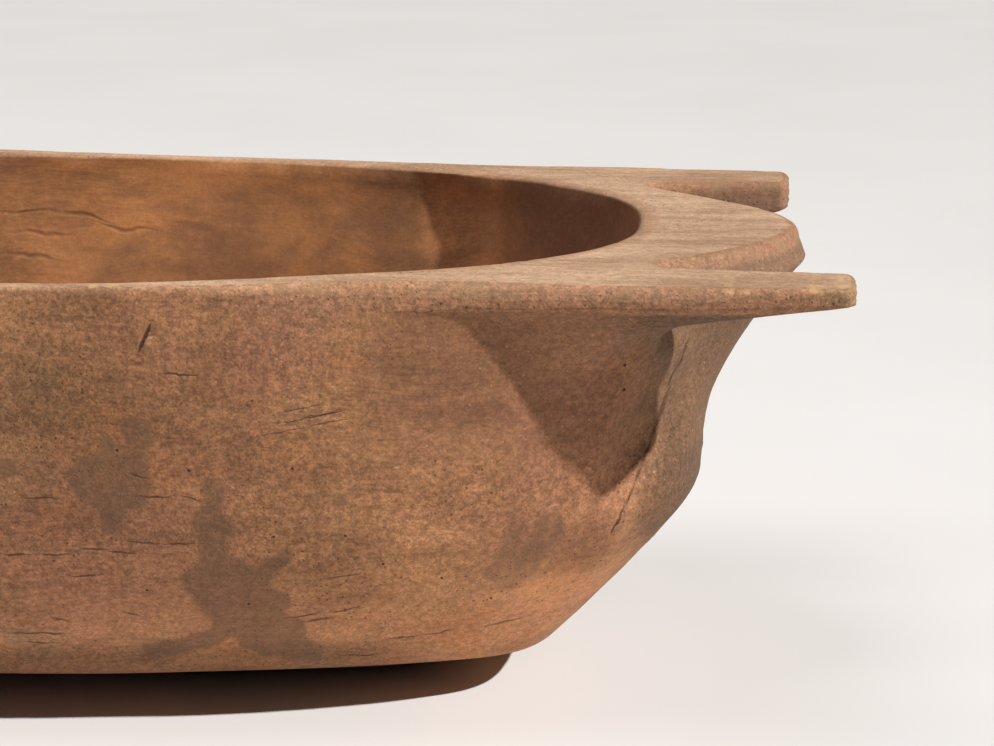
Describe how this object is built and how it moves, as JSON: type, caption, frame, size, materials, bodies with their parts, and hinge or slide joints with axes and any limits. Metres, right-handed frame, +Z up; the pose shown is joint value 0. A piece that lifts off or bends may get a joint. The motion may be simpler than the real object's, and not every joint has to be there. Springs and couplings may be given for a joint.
{
  "type": "dugout wooden trough",
  "caption": "Long dough trough hewn from one log: deep rounded basin, level rim, and flat horn handles with a round nose between them at each end.",
  "frame": {"origin": "centre of the flat foot, on the surface that the trough stands on, below the middle of its length and width", "axes": "+X along the trough, towards the end where the front horn is the longer one; +Y across it, towards the back rim; +Z up"},
  "size_m": [1.28, 0.49, 0.285],
  "materials": {
    "worn_wood": "bare, worn and dry, warm mid brown with grey-brown water stains"
  },
  "bodies": {
    "root": {"trough_body": "worn_wood"}
  },
  "joints": []
}
